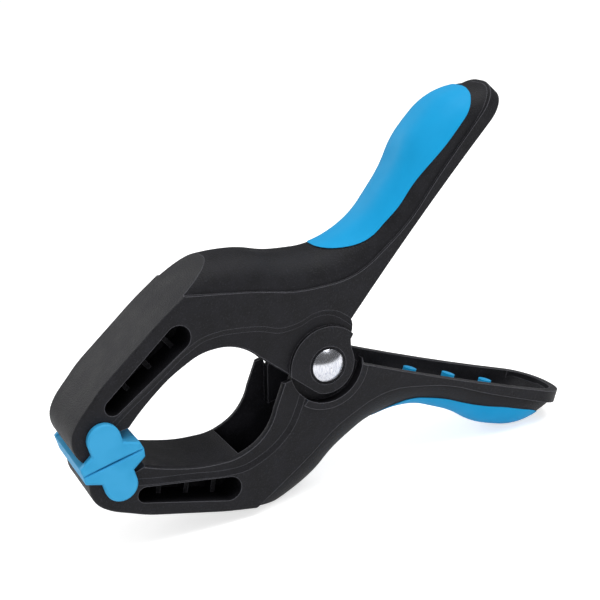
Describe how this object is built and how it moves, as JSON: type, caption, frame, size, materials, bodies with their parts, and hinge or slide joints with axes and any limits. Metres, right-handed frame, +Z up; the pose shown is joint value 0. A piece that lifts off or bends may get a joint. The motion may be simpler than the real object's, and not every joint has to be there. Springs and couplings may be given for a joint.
{
  "type": "spring clamp",
  "caption": "Hand-squeezed spring clamp: pivoting moulded levers with soft grips, swivel jaw pads, and a torsion spring round a domed rivet.",
  "frame": {"origin": "centre of the bounding box's bottom face; the clamp stands on the back of its lower lever", "axes": "+X from the jaws to the handles, +Y across the clamp along the rivet, towards the washer side, +Z up"},
  "size_m": [0.1786, 0.0308, 0.1232],
  "materials": {
    "lever_nylon": "fine satin grain",
    "grip_soft": "soft matt overmould",
    "pad_plastic": "satin moulded",
    "rivet_steel": "bright zinc plate",
    "spring_steel": "drawn wire, oiled"
  },
  "bodies": {
    "lower": {"lower_lever": "lever_nylon", "lower_grip": "grip_soft", "torsion_spring": "spring_steel"},
    "upper": {"upper_lever": "lever_nylon", "upper_grip": "grip_soft", "pivot_rivet": "rivet_steel", "rivet_washer": "rivet_steel"},
    "upper_pad_body": {"upper_pad": "pad_plastic"},
    "lower_pad_body": {"lower_pad": "pad_plastic"}
  },
  "joints": [
    {"name": "jaw_pivot", "type": "hinge", "parent": "lower", "child": "upper", "pos_m": [-0.00558, 0, 0.0448], "axis": [0, 1, 0], "range_deg": [0, 40], "stiffness_Nm_per_rad": 2.2, "springref_deg": -22.92, "deforming": ["torsion_spring"]},
    {"name": "upper_pad_swivel", "type": "hinge", "parent": "upper", "child": "upper_pad_body", "pos_m": [-0.08015, 0, 0.04078], "axis": [0, 1, 0], "range_deg": [-20, 0]},
    {"name": "lower_pad_swivel", "type": "hinge", "parent": "lower", "child": "lower_pad_body", "pos_m": [-0.07699, 0, 0.0251], "axis": [0, 1, 0], "range_deg": [0, 20]}
  ],
  "couplings": [
    {"joint": "upper_pad_swivel", "follows": "jaw_pivot", "ratio": -0.5},
    {"joint": "lower_pad_swivel", "follows": "jaw_pivot", "ratio": 0.5}
  ]
}
